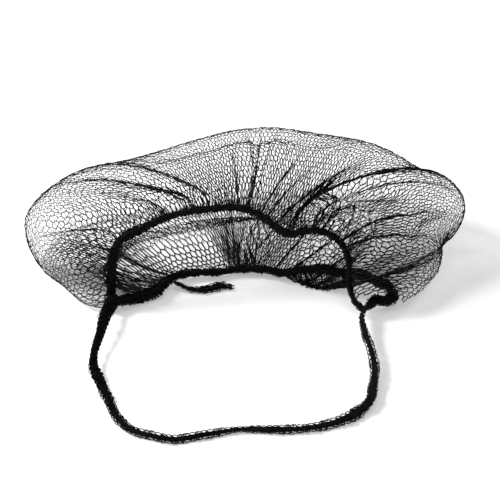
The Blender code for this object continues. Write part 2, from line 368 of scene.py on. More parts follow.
# %% Folds, gathers and a crease
# Folds running from the rim outward; depth is a share of POUCH_HEIGHT, hollow when positive
# share along the net at the rim and at the far end, first and last share of the way over,
# width as a share of the net's length, depth
FOLDS = [
    (0.085, 0.125, 0.02, 0.52, 0.022, 0.075),
    (0.240, 0.225, 0.02, 0.34, 0.020, 0.055),
    (0.330, 0.310, 0.02, 0.30, 0.018, 0.045),
    (0.425, 0.430, 0.02, 0.30, 0.018, 0.045),
    (0.520, 0.520, 0.02, 0.40, 0.018, 0.060),
    (0.610, 0.620, 0.02, 0.30, 0.018, 0.045),
    (0.745, 0.760, 0.02, 0.44, 0.020, 0.070),
    (0.830, 0.815, 0.02, 0.34, 0.020, 0.050),
    (0.930, 0.830, 0.02, 0.74, 0.022, 0.130),
]

# Small gathers standing up all along the upper rim
GATHERS = 18
GATHER_HEIGHT = 0.0018
GATHER_REACH = 0.20

# Creases running along the net; first and last share of its length, share of the way over,
# width of the crease as a share of the way over, depth as a share of POUCH_HEIGHT
CREASES = [
    (0.30, 0.68, 0.285, 0.035, 0.060),
]
print(len(FOLDS), "folds,", GATHERS, "small gathers and", len(CREASES), "crease")

# %% [markdown]
# A few places are enough when a smooth curve runs through them. The helpers read such a
# curve from a table, by the share of its length. Where a table holds one plain value for
# each share, straight lines between its rows will do.

# %% Smooth curves through tables
def through(knots, values, shares):
    """Values of the smooth curve through (knot, value) pairs."""
    slopes = np.gradient(values, knots, axis=0)
    shares = np.clip(shares, 0.0, 1.0)
    index = np.clip(np.searchsorted(knots, shares, side="right") - 1, 0, len(knots) - 2)
    span = (knots[index + 1] - knots[index])[:, None]
    part = (shares - knots[index])[:, None] / span
    start, end = values[index], values[index + 1]
    lead, trail = slopes[index] * span, slopes[index + 1] * span
    return (
        (2 * part**3 - 3 * part**2 + 1) * start
        + (part**3 - 2 * part**2 + part) * lead
        + (3 * part**2 - 2 * part**3) * end
        + (part**3 - part**2) * trail
    )


def column(table, shares):
    """Columns of a table whose first column is a share, at the given shares."""
    rows = np.array(table)
    return through(rows[:, 0], rows[:, 1:], shares)


def between(table, shares):
    """Values of a (share, value) table, straight between its rows."""
    return np.interp(shares, *np.array(table).T)


def smooth_line(places, shares):
    """Places on the smooth line through the given ones, at shares of its length."""
    steps = np.linalg.norm(np.diff(places[:, :3], axis=0), axis=1)
    knots = np.concatenate([[0.0], np.cumsum(steps)]) / steps.sum()
    return through(knots, places, shares)


def unit(vectors):
    """The vectors at length one."""
    return vectors / np.linalg.norm(vectors, axis=-1, keepdims=True)

# %% [markdown]
# Each section of the net is an arch from the upper edge to the back line, and another
# from there to the lower edge. An arch leaves the elastic at a slope of its own, as net
# that is sewn on does.

# %% Arches of the net
UP = np.array([0.0, 0.0, 1.0])
# share of a line over which its heading is measured, to either side
HEADING_REACH = 0.03
UPPER_LINE = np.array(UPPER_RIM) * [MOUTH_WIDTH, POUCH_DEPTH, RIM_LIFT]
LOWER_LINE = np.array(LOWER_RIM) * [MOUTH_WIDTH, POUCH_DEPTH, RIM_LIFT]
OUTER_LINE = np.array(BACK_LINE) * [POUCH_WIDTH, POUCH_DEPTH, POUCH_HEIGHT]


def arch(first, near, far, last, part):
    """One cubic arch for every section, part from 0 to 1."""
    part = part[None, :, None]
    rest = 1 - part
    first, near, far, last = first[:, None], near[:, None], far[:, None], last[:, None]
    start = rest**3 * first + 3 * rest**2 * part * near
    return start + 3 * rest * part**2 * far + part**3 * last


def leaving(line, shares, angles, lengths):
    """Edge of the net just clear of a rim, and where it heads from there."""
    centre = smooth_line(line, shares)
    before = smooth_line(line, shares - HEADING_REACH)
    along = unit(smooth_line(line, shares + HEADING_REACH) - before)
    away = unit(np.cross(UP, along))
    over = np.cross(along, away)
    heading = away * np.cos(np.radians(angles)) + over * np.sin(np.radians(angles))
    return centre + heading * (RIM_THICKNESS / 2 + EDGE_GAP), centre + heading * lengths


def net_sections(shares, over):
    """The net before its folds: over runs from the upper rim (0) to the lower rim (1)."""
    upper_shares = column(UPPER_GATHER, shares)[:, 0]
    lower_shares = column(LOWER_GATHER, shares)[:, 0]
    back = smooth_line(OUTER_LINE, shares)

    start, rise, shoulder, overhang = column(CROWN, shares).T[:, :, None]
    level = (back - smooth_line(UPPER_LINE, upper_shares)) * [1, 1, 0]
    reach = np.linalg.norm(level, axis=1, keepdims=True)
    upper, crown = leaving(UPPER_LINE, upper_shares, rise, start * reach)
    brow = back + shoulder * reach * UP + overhang * level

    drop, swell, start, slope = column(BELLY, shares).T[:, :, None]
    level = (back - smooth_line(LOWER_LINE, lower_shares)) * [1, 1, 0]
    reach = np.linalg.norm(level, axis=1, keepdims=True)
    lower, belly = leaving(LOWER_LINE, lower_shares, -slope, start * reach)
    heel = back - drop * reach * UP + swell * level

    above = over <= 0.5
    top = arch(upper, crown, brow, back, over[above] * 2)
    under = arch(back, heel, belly, lower, over[~above] * 2 - 1)
    return np.concatenate([top, under], axis=1)

# %% [markdown]
# Folds and the crease are pressed into the arches as soft grooves, and the small gathers
# are raised out of them. What would sink through the table lies flat on it.

# %% Folds pressed into the net
# how far the gathers stray from even places, as a share, and how fast that changes
GATHER_STRAY = 0.012
GATHER_CHANGE = 15


def outward(grid):
    """Unit normals of the net, pointing out of the pouch."""
    return unit(np.cross(np.gradient(grid, axis=0), np.gradient(grid, axis=1)))


def net_surface(shares, over):
    """Outer face of the net with its folds, resting on the surface below."""
    grid = net_sections(shares, over)
    dip = np.zeros(grid.shape[:2])
    for at_rim, at_end, first, last, width, depth in FOLDS:
        way = np.clip((over - first) / (last - first), 0.0, 1.0)
        centre = at_rim + (at_end - at_rim) * way
        offset = (shares[:, None] - centre) / width
        dip += depth * POUCH_HEIGHT * np.sin(math.pi * way) * np.exp(-(offset**2))
    for from_share, to_share, centre, width, depth in CREASES:
        way = np.clip((shares - from_share) / (to_share - from_share), 0.0, 1.0)
        offset = (over - centre) / width
        dip += depth * POUCH_HEIGHT * np.sin(math.pi * way)[:, None] * np.exp(-(offset**2))
    stray = GATHER_STRAY * np.sin(GATHER_CHANGE * shares)
    swing = np.cos(2 * math.pi * GATHERS * (shares + stray))
    way = np.clip(over / GATHER_REACH, 0.0, 1.0)
    dip -= GATHER_HEIGHT * (0.5 + 0.5 * swing[:, None]) * np.sin(math.pi * np.sqrt(way)) ** 2
    grid = grid - outward(grid) * dip[:, :, None]
    grid[:, :, 2] = np.maximum(grid[:, :, 2], 0.0)
    return grid

# %% [markdown]
# These tables stand where the part was drawn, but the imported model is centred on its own
# box. The difference between the two boxes is how far everything moves. The net is worked
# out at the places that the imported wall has, so that the boxes compare like with like.

# %% Place of the net in the frame
WALL_SECTIONS = 73
WALL_POINTS = 27

drawn = net_surface(np.linspace(0.0, 1.0, WALL_SECTIONS), np.linspace(0.0, 1.0, WALL_POINTS))
MIDDLE = np.array(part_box("net_pouch")[0]) - drawn.min(axis=(0, 1))
MIDDLE[2] = 0.0
print("everything moves by mm:", (MIDDLE * 1000).round(3))

# %% [markdown]
# The net will be laid on this surface point by point, so it is worked out once on a
# dense grid. One more row at each side, the hem, runs on into the middle of the elastic.

# %% Dense grid of the surface
DENSE_ALONG = 760
DENSE_OVER = 400
HEM = 0.0125

along = np.linspace(0.0, 1.0, DENSE_ALONG + 1)
across = np.linspace(0.0, 1.0, DENSE_OVER + 1)
cloth = net_surface(along, across)
facing = outward(cloth)
top_edge = smooth_line(UPPER_LINE, column(UPPER_GATHER, along)[:, 0])
low_edge = smooth_line(LOWER_LINE, column(LOWER_GATHER, along)[:, 0])
cloth = np.concatenate([top_edge[:, None], cloth, low_edge[:, None]], axis=1)
facing = np.concatenate([facing[:, :1], facing, facing[:, -1:]], axis=1)
across = np.concatenate([[-HEM], across, [1.0 + HEM]])


def blended(grid, i, j, a, b):
    """Values between four points of a grid, a of the way along and b of the way over."""
    near = grid[i, j] * (1 - b) + grid[i, j + 1] * b
    far = grid[i + 1, j] * (1 - b) + grid[i + 1, j + 1] * b
    return near * (1 - a) + far * a


def sampled(grid, shares, over):
    """Values of the dense grid at any shares, straight between its points."""
    i = np.clip(np.searchsorted(along, shares, side="right") - 1, 0, len(along) - 2)
    j = np.clip(np.searchsorted(across, over, side="right") - 1, 0, len(across) - 2)
    a = (shares - along[i]) / (along[i + 1] - along[i])
    b = (over - across[j]) / (across[j + 1] - across[j])
    return blended(grid, i, j, a[:, None], b[:, None])


print("surface:", cloth.shape[0], "by", cloth.shape[1], "points")

# %% [markdown]
# The net is knitted from nylon yarn in six-sided cells nearly 3 mm wide, longer across
# the strip than along it. Its columns lie evenly over the pouch, but at the mouth they
# crowd together where the elastic has drawn the net into a bunch.

# %% Columns of cells along the pouch
CELLS_ALONG = 180
CELL_WIDTH = 0.0029
CELL_STEP = 0.0036

# place along the pouch, how crowded the columns are there
MIDDLE_CROWDING = [
    (0.00, 0.60), (0.08, 0.70), (0.14, 0.95), (0.70, 0.95), (0.78, 1.30), (0.87, 1.35),
    (0.92, 0.90), (1.00, 0.60),
]
UPPER_CROWDING = [
    (0.00, 0.60), (0.05, 1.00), (0.08, 1.90), (0.12, 1.70), (0.15, 0.80), (0.19, 1.60),
    (0.24, 2.00), (0.29, 2.30), (0.32, 1.00), (0.42, 0.80), (0.51, 1.20), (0.57, 0.90),
    (0.66, 1.10), (0.73, 1.60), (0.77, 3.10), (0.86, 3.30), (0.90, 1.30), (0.94, 0.80),
    (1.00, 0.60),
]
LOWER_CROWDING = [
    (0.00, 0.75), (0.09, 0.85), (0.14, 1.40), (0.18, 1.40), (0.22, 1.15), (0.26, 0.95),
    (0.29, 0.48), (0.43, 0.32), (0.455, 1.20), (0.47, 2.00), (0.525, 2.00), (0.545, 1.20),
    (0.565, 0.85), (0.59, 0.85), (0.63, 1.50), (0.74, 1.50), (0.84, 1.00), (0.92, 0.70),
    (1.00, 0.60),
]

# part of the way over where the net lies over the pouch's middle
MIDDLE_BAND = slice(DENSE_OVER // 5, 3 * DENSE_OVER // 5)

across_way = unit(np.gradient(cloth, axis=1))
spacing = np.linalg.norm(np.cross(np.gradient(cloth, axis=0), across_way), axis=2)
middle_spacing = spacing[:, MIDDLE_BAND].mean(axis=1)


def column_shares(crowding):
    """Share of the strip's columns that lie before each place along the pouch."""
    dense = between(crowding, along) * middle_spacing
    passed = np.concatenate([[0.0], np.cumsum(dense[1:] + dense[:-1])])
    return passed / passed[-1]


middle_columns = column_shares(MIDDLE_CROWDING)
upper_columns = column_shares(UPPER_CROWDING)
lower_columns = column_shares(LOWER_CROWDING)
print("distance over the middle of all sections:", round(middle_spacing.sum() * 1000), "mm")

# %% [markdown]
# The yarn does not stretch, so where a cell is squeezed narrow it grows long. That gives
# the number of rows the net needs over every section of the pouch. At both ends the
# sections cross the rows at a slant, and so fewer rows fit on them. The ends of the under
# panel are drawn out by their own weight, and its middle has rows to spare for tucks.

# %% Rows of cells over each section
# place along the pouch, how much taller the cells of the under panel are there
DRAWN_OUT = [
    (0.00, 0.24), (0.12, 0.24), (0.30, -0.10), (0.46, -0.16), (0.62, -0.04), (0.74, -0.04),
    (0.82, 0.24), (1.00, 0.24),
]

# where the cells of the under panel start to be drawn out, and over how long they do
DRAWN_FROM = 0.66
DRAWN_FADE = 0.08
# a slanted side keeps at least this share of its rise, and a section of its slope
LEAST_RISE = 0.4
LEAST_SLOPE = 0.28

radius = CELL_WIDTH / math.sqrt(3)
stretch = CELL_STEP / (1.5 * radius)
upright = radius * stretch
slanted = math.hypot(CELL_WIDTH / 2, upright / 2)

widths = spacing / (np.gradient(middle_columns)[:, None] * CELLS_ALONG)
least = (LEAST_RISE * slanted) ** 2
pitches = upright + np.sqrt(np.maximum(slanted**2 - (widths / 2) ** 2, least))
slope = spacing / np.linalg.norm(np.gradient(cloth, axis=0), axis=2)
pitches /= np.maximum(slope, LEAST_SLOPE)
below = np.clip((across - DRAWN_FROM) / DRAWN_FADE, 0.0, 1.0)
pitches *= 1 + between(DRAWN_OUT, along)[:, None] * below
steps = np.linalg.norm(np.diff(cloth, axis=1), axis=2) * 2 / (pitches[:, 1:] + pitches[:, :-1])
counted = np.concatenate([np.zeros((len(along), 1)), np.cumsum(steps, axis=1)], axis=1)
row_count = counted[:, -1]
even = np.linspace(0.0, 1.0, len(across))
rows = np.stack([np.interp(even * row_count[i], counted[i], across) for i in range(len(along))])
print("rows of cells:", round(row_count[0]), "at the left end,", round(row_count.max()),
      "at most,", round(row_count[-1]), "at the right end")

# %% [markdown]
# One hexagon is enough for the flat net: it is stretched, repeated in a row, the row is
# doubled with half a cell's shift, and the pair is repeated. Touching points are joined
# each time, so that neighbouring cells share their yarn.

# %% Flat honeycomb net from one hexagon
CELLS_OVER = 2 * math.ceil(row_count.max() / 2 + 1)
# points nearer than this are one point
TOUCHING = 0.00002


def repeat(piece, count, step, joined=True):
    """Copies of the piece in a row, applied; touching points are joined."""
    bpy.context.view_layer.objects.active = piece
    array = piece.modifiers.new("repeat", "ARRAY")
    array.count = count
    array.use_relative_offset = False
    array.use_constant_offset = True
    array.constant_offset_displace = step
    array.use_merge_vertices = joined
    array.merge_threshold = TOUCHING
    bpy.ops.object.modifier_apply(modifier=array.name)


bpy.ops.mesh.primitive_circle_add(vertices=6, radius=radius, fill_type="NGON")
net = bpy.context.object
net.name = "net"
bpy.ops.object.mode_set(mode="EDIT")
bpy.ops.mesh.select_all(action="SELECT")
bpy.ops.transform.resize(value=(1.0, stretch, 1.0))
bpy.ops.object.mode_set(mode="OBJECT")
repeat(net, CELLS_ALONG, (CELL_WIDTH, 0.0, 0.0))
repeat(net, 2, (CELL_WIDTH / 2, CELL_STEP, 0.0))
repeat(net, CELLS_OVER // 2, (0.0, 2 * CELL_STEP, 0.0))
bpy.ops.object.mode_set(mode="EDIT")
bpy.ops.mesh.select_all(action="SELECT")
bpy.ops.mesh.remove_doubles(threshold=TOUCHING)
bpy.ops.object.mode_set(mode="OBJECT")
NET_LENGTH = (CELLS_ALONG + 0.5) * CELL_WIDTH
NET_MIDDLE = (CELLS_OVER - 1) / 2 * CELL_STEP
print("flat net:", len(net.data.polygons), "cells,", round(NET_LENGTH * 1000), "mm long,",
      round(CELLS_OVER * CELL_STEP * 1000), "mm high")

# %% [markdown]
# Towards the corners of the mouth the strip gets lower, because fewer rows are needed
# there. What lies beyond them is cut off, which leaves a long oval.

# %% Cut the strip to its oval
# share of a row by which a cell may reach past the rows that are needed
SPARE_ROW = 0.3


def strip_places(flat):
    """Share of the strip's columns and of its rows for flat points, and the rows' number."""
    shares = np.clip((flat[:, 0] + CELL_WIDTH / 2) / NET_LENGTH, 0.0, 1.0)
    taken = np.interp(np.interp(shares, middle_columns, along), along, row_count)
    return shares, 0.5 + (flat[:, 1] - NET_MIDDLE) / CELL_STEP / taken, taken


bpy.ops.object.mode_set(mode="EDIT")
bpy.ops.mesh.select_mode(type="FACE")
bpy.ops.mesh.select_all(action="DESELECT")
bpy.ops.object.mode_set(mode="OBJECT")
centres = np.array([cell.center for cell in net.data.polygons])
_, height, taken = strip_places(centres)
beyond = np.abs(height - 0.5) * taken > taken / 2 + SPARE_ROW
for cell, cut in zip(net.data.polygons, beyond):
    cell.select = bool(cut)
bpy.ops.object.mode_set(mode="EDIT")
bpy.ops.mesh.delete(type="FACE")
bpy.ops.object.mode_set(mode="OBJECT")
print("cells left:", len(net.data.polygons), "or",
      round(len(net.data.polygons) * CELL_WIDTH * CELL_STEP, 4), "square metres of net")

# %% [markdown]
# Where fabric is gathered it does not thin out evenly: it bunches into narrow streaks
# that look dark, with wider cells between them. Each row of this table is one streak,
# running from the edge of the mouth outward; its strength is how far the cells close up,
# and above one they fold over each other.

# %% Streaks in the net
# share along the pouch at the streak's start and end, first and last share of the way
# over, width as a share of the pouch's length, strength
STREAKS = [
    (0.085, 0.105, 0.00, 0.40, 0.024, 0.80),
    (0.112, 0.138, 0.00, 0.50, 0.010, 1.30),
    (0.195, 0.175, 0.00, 0.30, 0.026, 0.45),
    (0.232, 0.198, 0.00, 0.44, 0.012, 1.30),
    (0.256, 0.222, 0.00, 0.30, 0.022, 1.20),
    (0.305, 0.272, 0.00, 0.34, 0.011, 1.30),
    (0.458, 0.465, 0.00, 0.22, 0.014, 0.80),
    (0.505, 0.497, 0.00, 0.34, 0.009, 0.95),
    (0.528, 0.522, 0.00, 0.42, 0.009, 1.15),
    (0.551, 0.551, 0.00, 0.32, 0.009, 0.95),
    (0.520, 0.515, 0.00, 0.26, 0.030, 0.60),
    (0.605, 0.612, 0.00, 0.26, 0.014, 0.90),
    (0.650, 0.665, 0.00, 0.20, 0.012, 0.80),
    (0.695, 0.730, 0.00, 0.28, 0.018, 0.90),
    (0.738, 0.785, 0.00, 0.32, 0.026, 0.60),
    (0.752, 0.800, 0.00, 0.30, 0.008, 1.00),
    (0.785, 0.828, 0.00, 0.38, 0.008, 1.05),
    (0.810, 0.835, 0.00, 0.22, 0.026, 0.80),
    (0.852, 0.860, 0.00, 0.40, 0.008, 1.15),
    (0.858, 0.866, 0.00, 0.26, 0.026, 0.75),
    (0.880, 0.892, 0.00, 0.42, 0.009, 1.20),
]
# the same, from the lower edge of the mouth inward
LOWER_STREAKS = [
    (0.185, 0.175, 1.00, 0.74, 0.018, 0.85),
    (0.240, 0.230, 1.00, 0.76, 0.012, 1.10),
    (0.480, 0.475, 1.00, 0.66, 0.010, 0.70),
    (0.530, 0.523, 1.00, 0.66, 0.008, 0.90),
    (0.600, 0.645, 1.00, 0.62, 0.009, 1.30),
    (0.635, 0.680, 1.00, 0.62, 0.010, 1.30),
    (0.680, 0.712, 1.00, 0.62, 0.012, 1.20),
    (0.725, 0.720, 1.00, 0.66, 0.016, 1.10),
]
print("streaks:", len(STREAKS), "from the upper edge,", len(LOWER_STREAKS), "from the lower")

# %% [markdown]
# Some folds run along the net instead of away from its edge. They are tucks, which close
# up the rows of cells as a streak closes up the columns. Where cells close up they also
# pile up, so each point is lifted by the layers that lie under it.

# %% Tucks and layers
# first and last share of the pouch's length, share of the way over, width as a share of
# the way over, strength
TUCKS = [
    (0.24, 0.54, 0.765, 0.070, 2.0),
    (0.12, 0.34, 0.800, 0.045, 1.7),
    (0.72, 0.95, 0.110, 0.050, 0.80),
]
# height of one layer of bunched net, and how many of them a streak makes at most
LAYER = 0.0009
MOST_LAYERS = 1.5


def drawn_in(offset):
    """How points near a fold's line move towards it, and how far they rise, at strength 1."""
    near = np.exp(-(offset**2))
    return offset * near, near + offset * near


def bunched(shares, over):
    """Where points lie once the net is bunched, and how far each layer is lifted."""
    moved, tucked = shares.copy(), over.copy()
    lift = np.zeros(len(shares))
    for at_rim, at_end, first, last, width, strength in STREAKS + LOWER_STREAKS:
        way = np.clip((over - first) / (last - first), 0.0, 1.0)
        offset = (shares - at_rim - (at_end - at_rim) * way) / width
        hold = strength * np.sqrt(1.0 - way**2)
        pull, rise = drawn_in(offset)
        moved -= hold * width * pull
        lift += LAYER * np.clip(hold, 0.0, MOST_LAYERS) * rise
    for first, last, centre, width, strength in TUCKS:
        way = np.clip((shares - first) / (last - first), 0.0, 1.0)
        hold = strength * np.sin(math.pi * way) ** 0.5
        pull, rise = drawn_in((over - centre) / width)
        tucked -= hold * width * pull
        lift += LAYER * hold * rise
    return np.clip(moved, 0.0, 1.0), np.clip(tucked, -HEM, 1 + HEM), lift

# %% [markdown]
# Worn net is never quite even: cells are pulled about by a fraction of a millimetre
# everywhere, and by more where the net is crumpled. This table lists the crumpled
# places; waves of a few lengths, laid over each other, do the pulling.

# %% Crumpled places
# share along the pouch, share of the way over, half its size in both, strength
CRUMPLES = [
    (0.255, 0.070, 0.060, 0.070, 1.0),
    (0.085, 0.100, 0.050, 0.140, 1.0),
    (0.180, 0.850, 0.060, 0.080, 0.8),
    (0.400, 0.720, 0.120, 0.030, 0.8),
    (0.530, 0.860, 0.070, 0.100, 0.8),
    (0.665, 0.750, 0.050, 0.080, 0.8),
    (0.810, 0.065, 0.075, 0.090, 1.2),
    (0.790, 0.980, 0.060, 0.060, 0.6),
]
# waves along the strip and over it, start of the wave in turns
WAVES = [(24, 7, 0.21), (39, -12, 0.64), (-31, 17, 0.37), (57, 21, 0.83)]
# how much faster than the shift along go the shift over and the lift, so that no two match
OVER_PACE = 1.3
LIFT_PACE = 1.7
LIFT_START = 1.0
# shift of any cell and of a crumpled one, lift of any cell and of a crumpled one
UNEVEN = 0.00022
CRUMPLED = 0.00038
RIPPLE = 0.00012
PUCKER = 0.0007
print("crumpled places:", len(CRUMPLES))


def crumpled(shares, over):
    """Shift along and over in metres, and lift off the surface, of every point."""
    strength = np.zeros(len(shares))
    for share, way, half_share, half_way, much in CRUMPLES:
        far = ((shares - share) / half_share) ** 2 + ((over - way) / half_way) ** 2
        strength = np.maximum(strength, much * np.exp(-(far**2)))
    shift = np.zeros((len(shares), 2))
    lift = np.zeros(len(shares))
    for turns_along, turns_over, start in WAVES:
        phase = 2 * math.pi * (turns_along * shares + turns_over * over + start)
        shift += np.stack([np.sin(phase), np.cos(OVER_PACE * phase)], axis=1)
        lift += np.sin(LIFT_PACE * phase + LIFT_START)
    shift *= (UNEVEN + CRUMPLED * strength)[:, None]
    return shift, (RIPPLE + PUCKER * strength) * lift

# %% [markdown]
# The rows of the flat strip are even, but over the pouch they are not: where the cells
# are squeezed they grow long, and a row takes more of the way. The table of rows from
# before says how far over each row of each column lies.

# %% From a row of the strip to a place over the pouch
def row_places(shares, height):
    """Share of the way over for a share of the rows, at each share along."""
    height = np.clip(height, 0.0, 1.0)
    x, y = shares * DENSE_ALONG, height * (len(even) - 1)
    i = np.minimum(x.astype(int), DENSE_ALONG - 1)
    j = np.minimum(y.astype(int), len(even) - 2)
    return blended(rows, i, j, x - i, y - j)


halfway = row_places(np.array([0.5]), np.array([0.5]))[0]
print("the middle row lies", round(halfway, 2), "of the way over at the pouch's middle")

# %% [markdown]
# Close to the elastic the net stands in small pleats, three or four cells wide, which
# die away over a couple of centimetres. The strip's own edges run into the elastic.

# %% Drape the net
PLEATS = 58
PLEAT_HEIGHT = 0.0008
PLEAT_REACH = 0.16
# how far the pleats stray from even places, as a share, and how fast that changes
PLEAT_STRAY = 0.004
PLEAT_CHANGE = 40
YARN = 0.00092
# where the columns start to crowd towards each edge of the mouth, and over how long
LOWER_FROM = 0.60
LOWER_FADE = 0.35
UPPER_FROM = 0.26
UPPER_FADE = 0.20


def draped(flat):
    """Points of the flat strip laid on the pouch."""
    strip, height, taken = strip_places(flat)
    shares = np.interp(strip, middle_columns, along)
    shift, pucker = crumpled(shares, row_places(shares, height))
    over = row_places(shares, height + shift[:, 1] / (taken * CELL_STEP))
    lower = np.clip((over - LOWER_FROM) / LOWER_FADE, 0.0, 1.0)
    upper = np.clip((UPPER_FROM - over) / UPPER_FADE, 0.0, 1.0)
    shares = (
        shares * (1 - lower - upper)
        + np.interp(strip, lower_columns, along) * lower
        + np.interp(strip, upper_columns, along) * upper
    )
    shares = np.clip(shares + shift[:, 0] / NET_LENGTH, 0.0, 1.0)
    shares, over, lift = bunched(shares, over)
    points = sampled(cloth, shares, over)
    stray = PLEAT_STRAY * np.sin(PLEAT_CHANGE * shares)
    swing = np.sin(2 * math.pi * PLEATS * (shares + stray))
    edge = np.minimum(np.clip(over, 0, 1), np.clip(1 - over, 0, 1)) / PLEAT_REACH
    rise = PLEAT_HEIGHT * np.sin(math.pi * np.sqrt(np.clip(edge, 0.0, 1.0))) ** 2
    inside = np.where(over > 0.5, -1.0, 1.0)
    points += sampled(facing, shares, over) * (swing * rise + pucker + inside * lift)[:, None]
    points += MIDDLE
    points[:, 2] = np.maximum(points[:, 2], YARN / 2)
    return points

# %% [markdown]
# Nylon yarn for such a net is thin and black with a slight silky gloss. Under the
# studio light the tops of the strands turn grey while the rest stays black. Its single
# fibres are far too fine to show, so the grain is drawn as coarse as the yarn is thick.

# %% Black nylon yarn
def black_yarn(name, hex_dark, hex_light, roughness, fibre_mm):
    """Dyed yarn of many filaments: black, softly shining, rough by its fibres."""
    material = bpy.data.materials.new(name)
    material.use_nodes = True
    tree = material.node_tree
    shader = tree.nodes["Principled BSDF"]
    shader.inputs["Roughness"].default_value = roughness
    shader.inputs["Specular IOR Level"].default_value = 0.2
    noise_inputs = {"Scale": 1000.0 / fibre_mm, "Detail": 3.0, "Roughness": 0.6}
    fibre = two_toned(tree, noise_inputs, hex_dark, hex_light)
    bump = add_node(
        tree,
        "ShaderNodeBump",
        inputs={"Strength": 0.4, "Distance": 0.00005},
        links=[("Height", fibre, "Fac")],
    )
    tree.links.new(bump.outputs["Normal"], shader.inputs["Normal"])
    return material


net_yarn = black_yarn("nylon_net_yarn", "#060607", "#0e0e10", 0.5, 0.8)
print("material:", net_yarn.name)

# %% [markdown]
# Where the net is pulled wide over the crown its yarn is drawn thin, and down at the
# elastic it is full. So each point of the net gets a weight between the two. The tables
# say how far from the mouth the yarn stays full.

# %% Where the yarn is full and where it is thin
# thickness of the thin yarn as a share of the full yarn's
THIN_SHARE = 0.42
# place along the pouch, how far over it from the mouth the yarn stays full
FULL_REACH = [
    (0.00, 0.20), (0.10, 0.22), (0.16, 0.06), (0.70, 0.06), (0.76, 0.16), (0.84, 0.14),
    (0.92, 0.18), (1.00, 0.28),
]
# place along the pouch, how far over it the yarn gets full again
LOWER_REACH = [
    (0.00, 0.88), (0.10, 0.86), (0.17, 0.68), (0.22, 0.60), (0.28, 0.68), (0.32, 0.75),
    (0.42, 0.75), (0.45, 0.62), (0.72, 0.62), (0.79, 0.80), (0.88, 0.88), (1.00, 0.88),
]
# place along the pouch, how full the yarn is in the band seen just under the upper edging
INNER_BAND = [(0.24, 0.0), (0.32, 0.9), (0.50, 0.9), (0.56, 0.0)]
INNER_MIDDLE = 0.67
# share of the way over in which the yarn goes from full to thin, in the same order
MOUTH_FADE = 0.30
UNDER_FADE = 0.14
INNER_FADE = 0.10


def fullness(flat):
    """How full the yarn is: 1 in front and towards the lower edge, 0 over the crown."""
    strip, height, _ = strip_places(flat)
    shares = np.interp(strip, middle_columns, along)
    over = row_places(shares, height)
    near_mouth = 1.0 - (over - between(FULL_REACH, shares)) / MOUTH_FADE
    below = (over - between(LOWER_REACH, shares)) / UNDER_FADE
    inner = between(INNER_BAND, shares) - np.abs(over - INNER_MIDDLE) / INNER_FADE
    return np.clip(np.maximum(np.maximum(near_mouth, below), inner), 0.0, 1.0)


def points_of(piece):
    """The piece's points as an array."""
    places = np.empty(len(piece.data.vertices) * 3)
    piece.data.vertices.foreach_get("co", places)
    return places.reshape(-1, 3)


flat = points_of(net)
weights = fullness(flat)

# %% [markdown]
# A wireframe of the draped cells turns every side of a cell into a strand of yarn. It
# reads the weights from a vertex group, where they go from thin to full in a few steps.

# %% Strands of yarn
WEIGHT_STEPS = 8


def move_points(piece, places):
    """Moves the piece's points to their new places."""
    piece.data.vertices.foreach_set("co", places.ravel())
    piece.data.update()


def knit(piece, weights):
    """Each cell's sides become strands; the mesh is closed and smooth."""
    group = piece.vertex_groups.new(name="fullness")
    for level in range(WEIGHT_STEPS + 1):
        chosen = np.nonzero((weights * WEIGHT_STEPS).round() == level)[0]
        if len(chosen):
            group.add(chosen.tolist(), level / WEIGHT_STEPS, "REPLACE")
    strands = piece.modifiers.new("strands", "WIREFRAME")
    strands.thickness = YARN
    strands.use_boundary = True
    strands.use_even_offset = False
    strands.vertex_group = group.name
    strands.thickness_vertex_group = THIN_SHARE
    bpy.context.view_layer.objects.active = piece
    bpy.ops.object.modifier_apply(modifier=strands.name)
    piece.vertex_groups.clear()
    piece.data.shade_smooth()
    piece.data.materials.clear()
    piece.data.materials.append(net_yarn)


def yarn_length(piece, places):
    """Length of all the strands together."""
    ends = np.empty(len(piece.data.edges) * 2, dtype=int)
    piece.data.edges.foreach_get("vertices", ends)
    return np.linalg.norm(places[ends[::2]] - places[ends[1::2]], axis=1).sum()


net.name = "knitted_net"
laid = draped(flat)
flat_yarn = yarn_length(net, flat)
print("yarn:", round(flat_yarn, 1), "m flat,", round(yarn_length(net, laid), 1), "m draped")
move_points(net, laid)
knit(net, weights)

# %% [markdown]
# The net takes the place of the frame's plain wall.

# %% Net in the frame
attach(net, "root")
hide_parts("net_pouch")
net.data.calc_loop_triangles()
low, high = np.array(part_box("net_pouch")) * 1000
print(net.name, len(net.data.loop_triangles), "triangles, lies from",
      (points_of(net).min(axis=0) * 1000).round(1), "to",
      (points_of(net).max(axis=0) * 1000).round(1), "mm; the frame's from", low.round(1),
      "to", high.round(1))

# %% [markdown]
# The same elastic binds the mouth and goes round the head. It is a narrow knitted tape:
# columns of chained loops side by side along its middle, and thread arcs along both
# sides that leave little holes and a scalloped edge. These tables say how it lies.

